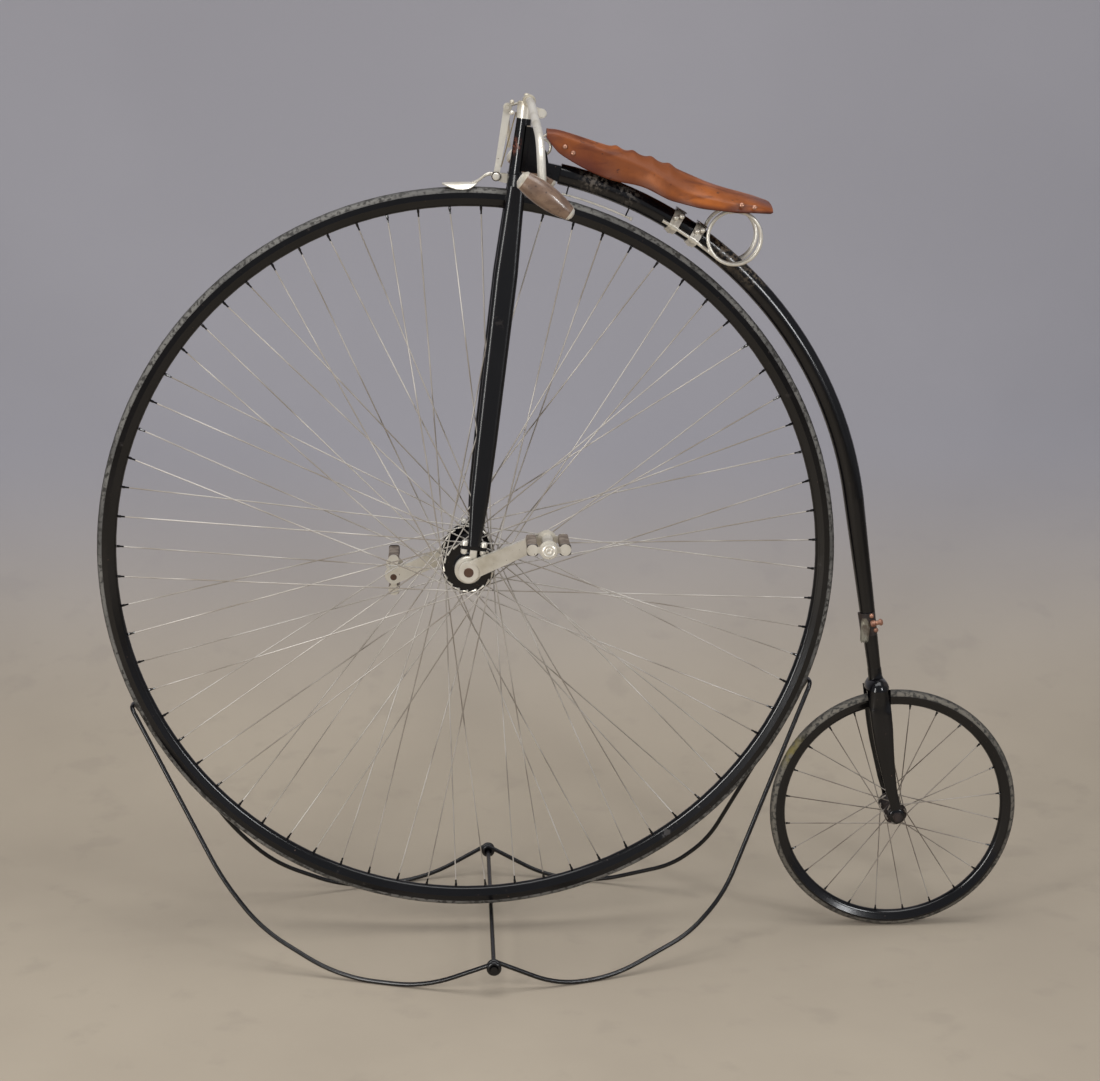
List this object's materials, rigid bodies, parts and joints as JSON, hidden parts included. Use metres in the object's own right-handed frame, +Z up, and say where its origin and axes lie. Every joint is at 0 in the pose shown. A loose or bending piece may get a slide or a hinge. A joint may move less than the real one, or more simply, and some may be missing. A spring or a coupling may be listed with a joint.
{
  "type": "high wheel bicycle",
  "caption": "High wheel bicycle with a large front driving wheel, a curved backbone, a small rear wheel, leather saddle and spoon brake, on a bent rod display stand.",
  "frame": {"origin": "on the floor, under the middle of the bounding box", "axes": "+X to the rear, +Y to the rider's right, +Z up"},
  "size_m": [1.6718, 0.694, 1.5305],
  "materials": {
    "black_enamel": "glossy, chipped and worn",
    "nickel": "dull, yellowed and pitted plate",
    "bare_steel": "tarnished",
    "front_tyre_rubber": "matt, greyed along its tread",
    "rear_tyre_rubber": "matt, greyed and scuffed",
    "grip_brown": "satin",
    "pedal_rubber": "matt, aged brown",
    "saddle_leather": "waxed, cracked at its edges",
    "cast_step": "rough",
    "stand_enamel": "satin black, thinly worn"
  },
  "bodies": {
    "root": {"front_fork": "black_enamel", "steering_head": "black_enamel", "head_collar": "nickel", "head_bolt": "nickel", "handlebar": "nickel", "grip_left": "grip_brown", "grip_right": "grip_brown", "grip_ferrules": "nickel", "bearing_cases": "nickel", "brake_spoon": "nickel", "brake_link": "nickel", "brake_bracket": "nickel", "brake_spring": "nickel", "brake_lever": "nickel", "lever_bracket": "nickel", "stand_front_loop": "stand_enamel", "stand_rear_loop": "stand_enamel", "stand_cross_bar": "stand_enamel"},
    "front_wheel": {"front_tyre": "front_tyre_rubber", "front_rim": "black_enamel", "front_spokes": "bare_steel", "front_hub": "black_enamel", "front_axle": "bare_steel", "crank_left": "nickel", "crank_right": "nickel", "pedal_pins": "bare_steel"},
    "pedal_left": {"pedal_cage_left": "nickel", "pedal_blocks_left": "pedal_rubber"},
    "pedal_right": {"pedal_cage_right": "nickel", "pedal_blocks_right": "pedal_rubber"},
    "rear_frame": {"backbone": "black_enamel", "rear_fork": "black_enamel", "rear_axle": "bare_steel", "saddle_top": "saddle_leather", "saddle_frame": "bare_steel", "coil_springs": "nickel", "spring_clamps": "nickel", "nose_spring": "nickel", "guard_rod": "nickel", "step": "cast_step"},
    "rear_wheel": {"rear_tyre": "rear_tyre_rubber", "rear_rim": "black_enamel", "rear_spokes": "bare_steel", "rear_hub": "black_enamel"}
  },
  "joints": [
    {"name": "front_wheel_spin", "type": "hinge", "parent": "root", "child": "front_wheel", "pos_m": [-0.1756, 0, 0.7139], "axis": [0, 1, 0], "continuous": true},
    {"name": "pedal_left_spin", "type": "hinge", "parent": "front_wheel", "child": "pedal_left", "pos_m": [-0.03896, -0.15, 0.77331], "axis": [0, 1, 0], "continuous": true},
    {"name": "pedal_right_spin", "type": "hinge", "parent": "front_wheel", "child": "pedal_right", "pos_m": [-0.31224, 0.15, 0.65449], "axis": [0, 1, 0], "continuous": true},
    {"name": "steering", "type": "hinge", "parent": "root", "child": "rear_frame", "pos_m": [-0.1706, 0, 0.7139], "axis": [0.1245, 0, 0.9922], "range_deg": [-40, 40]},
    {"name": "rear_wheel_spin", "type": "hinge", "parent": "rear_frame", "child": "rear_wheel", "pos_m": [0.6074, 0, 0.2286], "axis": [0, 1, 0], "continuous": true}
  ]
}
